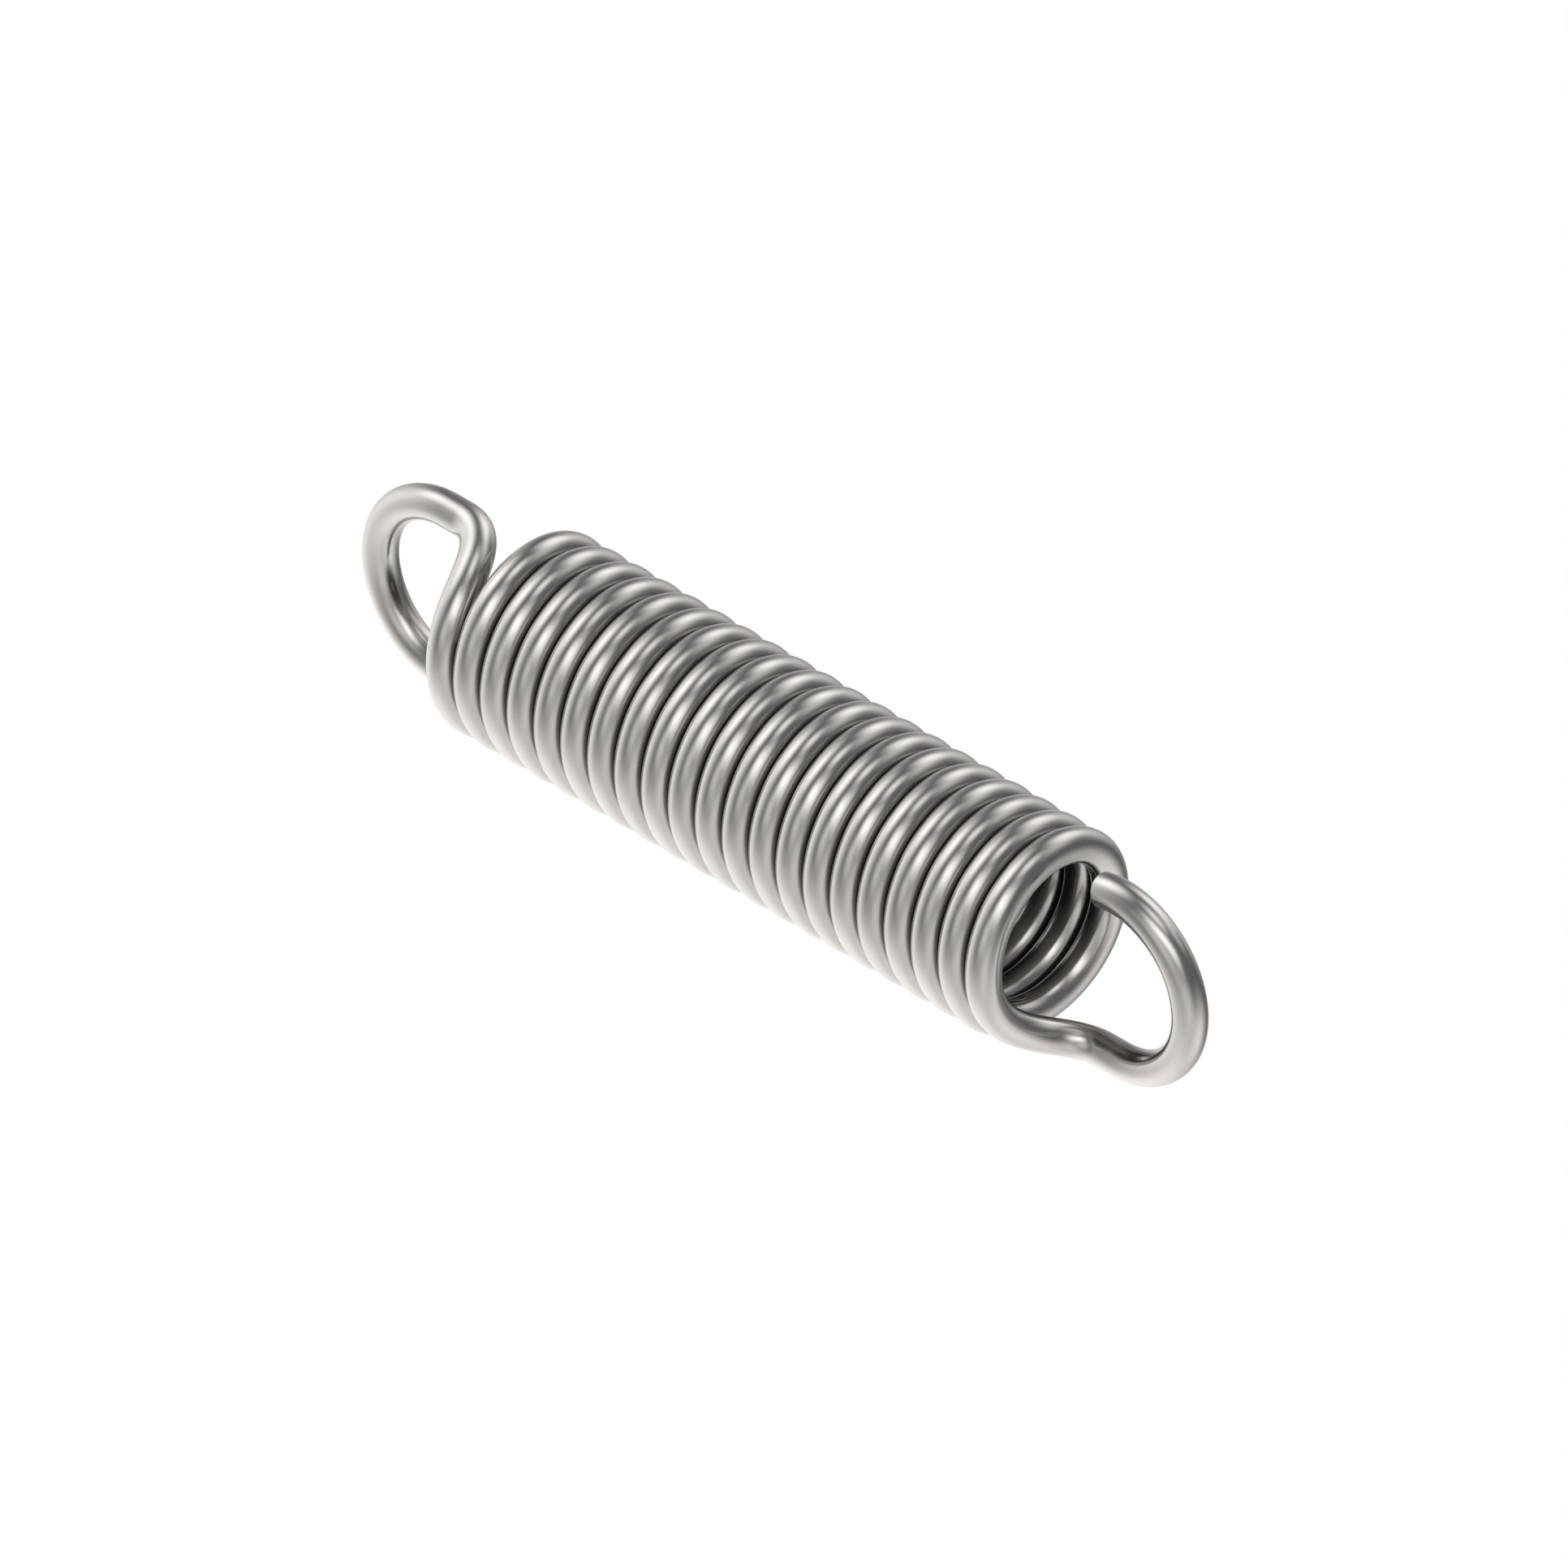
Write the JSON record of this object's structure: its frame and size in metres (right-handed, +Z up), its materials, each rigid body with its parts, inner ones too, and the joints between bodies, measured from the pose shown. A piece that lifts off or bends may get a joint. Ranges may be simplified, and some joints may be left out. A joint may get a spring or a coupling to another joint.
{
  "type": "tension spring",
  "caption": "Close-wound helical tension spring of round wire with a full-loop hook at each end; it stretches along its axis and pulls back.",
  "frame": {"origin": "on the coil's axis, half way between the two hooks", "axes": "+X along the coil's axis from the rear hook to the front hook; +Z up, in the plane of both hook loops; the coil starts and ends on its -Y side"},
  "size_m": [0.0628, 0.0124, 0.0124],
  "materials": {
    "spring_wire": "satin, cold-drawn stainless spring wire"
  },
  "bodies": {
    "rear_hook": {"rear_hook": "spring_wire"},
    "coil_turn_01": {"coil_turn_01": "spring_wire"},
    "coil_turn_02": {"coil_turn_02": "spring_wire"},
    "coil_turn_03": {"coil_turn_03": "spring_wire"},
    "coil_turn_04": {"coil_turn_04": "spring_wire"},
    "coil_turn_05": {"coil_turn_05": "spring_wire"},
    "coil_turn_06": {"coil_turn_06": "spring_wire"},
    "coil_turn_07": {"coil_turn_07": "spring_wire"},
    "coil_turn_08": {"coil_turn_08": "spring_wire"},
    "coil_turn_09": {"coil_turn_09": "spring_wire"},
    "coil_turn_10": {"coil_turn_10": "spring_wire"},
    "coil_turn_11": {"coil_turn_11": "spring_wire"},
    "coil_turn_12": {"coil_turn_12": "spring_wire"},
    "coil_turn_13": {"coil_turn_13": "spring_wire"},
    "coil_turn_14": {"coil_turn_14": "spring_wire"},
    "coil_turn_15": {"coil_turn_15": "spring_wire"},
    "coil_turn_16": {"coil_turn_16": "spring_wire"},
    "coil_turn_17": {"coil_turn_17": "spring_wire"},
    "coil_turn_18": {"coil_turn_18": "spring_wire"},
    "coil_turn_19": {"coil_turn_19": "spring_wire"},
    "front_hook": {"coil_turn_20": "spring_wire", "front_hook": "spring_wire"}
  },
  "joints": [
    {"name": "stretch", "type": "slide", "parent": "rear_hook", "child": "front_hook", "axis": [1, 0, 0], "range_m": [0, 0.026], "stiffness_N_per_m": 6026},
    {"name": "turn_01_spread", "type": "slide", "parent": "rear_hook", "child": "coil_turn_01", "axis": [1, 0, 0], "range_m": [0, 0.0013]},
    {"name": "turn_02_spread", "type": "slide", "parent": "rear_hook", "child": "coil_turn_02", "axis": [1, 0, 0], "range_m": [0, 0.0026]},
    {"name": "turn_03_spread", "type": "slide", "parent": "rear_hook", "child": "coil_turn_03", "axis": [1, 0, 0], "range_m": [0, 0.0039]},
    {"name": "turn_04_spread", "type": "slide", "parent": "rear_hook", "child": "coil_turn_04", "axis": [1, 0, 0], "range_m": [0, 0.0052]},
    {"name": "turn_05_spread", "type": "slide", "parent": "rear_hook", "child": "coil_turn_05", "axis": [1, 0, 0], "range_m": [0, 0.0065]},
    {"name": "turn_06_spread", "type": "slide", "parent": "rear_hook", "child": "coil_turn_06", "axis": [1, 0, 0], "range_m": [0, 0.0078]},
    {"name": "turn_07_spread", "type": "slide", "parent": "rear_hook", "child": "coil_turn_07", "axis": [1, 0, 0], "range_m": [0, 0.0091]},
    {"name": "turn_08_spread", "type": "slide", "parent": "rear_hook", "child": "coil_turn_08", "axis": [1, 0, 0], "range_m": [0, 0.0104]},
    {"name": "turn_09_spread", "type": "slide", "parent": "rear_hook", "child": "coil_turn_09", "axis": [1, 0, 0], "range_m": [0, 0.0117]},
    {"name": "turn_10_spread", "type": "slide", "parent": "rear_hook", "child": "coil_turn_10", "axis": [1, 0, 0], "range_m": [0, 0.013]},
    {"name": "turn_11_spread", "type": "slide", "parent": "rear_hook", "child": "coil_turn_11", "axis": [1, 0, 0], "range_m": [0, 0.0143]},
    {"name": "turn_12_spread", "type": "slide", "parent": "rear_hook", "child": "coil_turn_12", "axis": [1, 0, 0], "range_m": [0, 0.0156]},
    {"name": "turn_13_spread", "type": "slide", "parent": "rear_hook", "child": "coil_turn_13", "axis": [1, 0, 0], "range_m": [0, 0.0169]},
    {"name": "turn_14_spread", "type": "slide", "parent": "rear_hook", "child": "coil_turn_14", "axis": [1, 0, 0], "range_m": [0, 0.0182]},
    {"name": "turn_15_spread", "type": "slide", "parent": "rear_hook", "child": "coil_turn_15", "axis": [1, 0, 0], "range_m": [0, 0.0195]},
    {"name": "turn_16_spread", "type": "slide", "parent": "rear_hook", "child": "coil_turn_16", "axis": [1, 0, 0], "range_m": [0, 0.0208]},
    {"name": "turn_17_spread", "type": "slide", "parent": "rear_hook", "child": "coil_turn_17", "axis": [1, 0, 0], "range_m": [0, 0.0221]},
    {"name": "turn_18_spread", "type": "slide", "parent": "rear_hook", "child": "coil_turn_18", "axis": [1, 0, 0], "range_m": [0, 0.0234]},
    {"name": "turn_19_spread", "type": "slide", "parent": "rear_hook", "child": "coil_turn_19", "axis": [1, 0, 0], "range_m": [0, 0.0247]}
  ],
  "couplings": [
    {"joint": "turn_01_spread", "follows": "stretch", "ratio": 0.05},
    {"joint": "turn_02_spread", "follows": "stretch", "ratio": 0.1},
    {"joint": "turn_03_spread", "follows": "stretch", "ratio": 0.15},
    {"joint": "turn_04_spread", "follows": "stretch", "ratio": 0.2},
    {"joint": "turn_05_spread", "follows": "stretch", "ratio": 0.25},
    {"joint": "turn_06_spread", "follows": "stretch", "ratio": 0.3},
    {"joint": "turn_07_spread", "follows": "stretch", "ratio": 0.35},
    {"joint": "turn_08_spread", "follows": "stretch", "ratio": 0.4},
    {"joint": "turn_09_spread", "follows": "stretch", "ratio": 0.45},
    {"joint": "turn_10_spread", "follows": "stretch", "ratio": 0.5},
    {"joint": "turn_11_spread", "follows": "stretch", "ratio": 0.55},
    {"joint": "turn_12_spread", "follows": "stretch", "ratio": 0.6},
    {"joint": "turn_13_spread", "follows": "stretch", "ratio": 0.65},
    {"joint": "turn_14_spread", "follows": "stretch", "ratio": 0.7},
    {"joint": "turn_15_spread", "follows": "stretch", "ratio": 0.75},
    {"joint": "turn_16_spread", "follows": "stretch", "ratio": 0.8},
    {"joint": "turn_17_spread", "follows": "stretch", "ratio": 0.85},
    {"joint": "turn_18_spread", "follows": "stretch", "ratio": 0.9},
    {"joint": "turn_19_spread", "follows": "stretch", "ratio": 0.95}
  ]
}
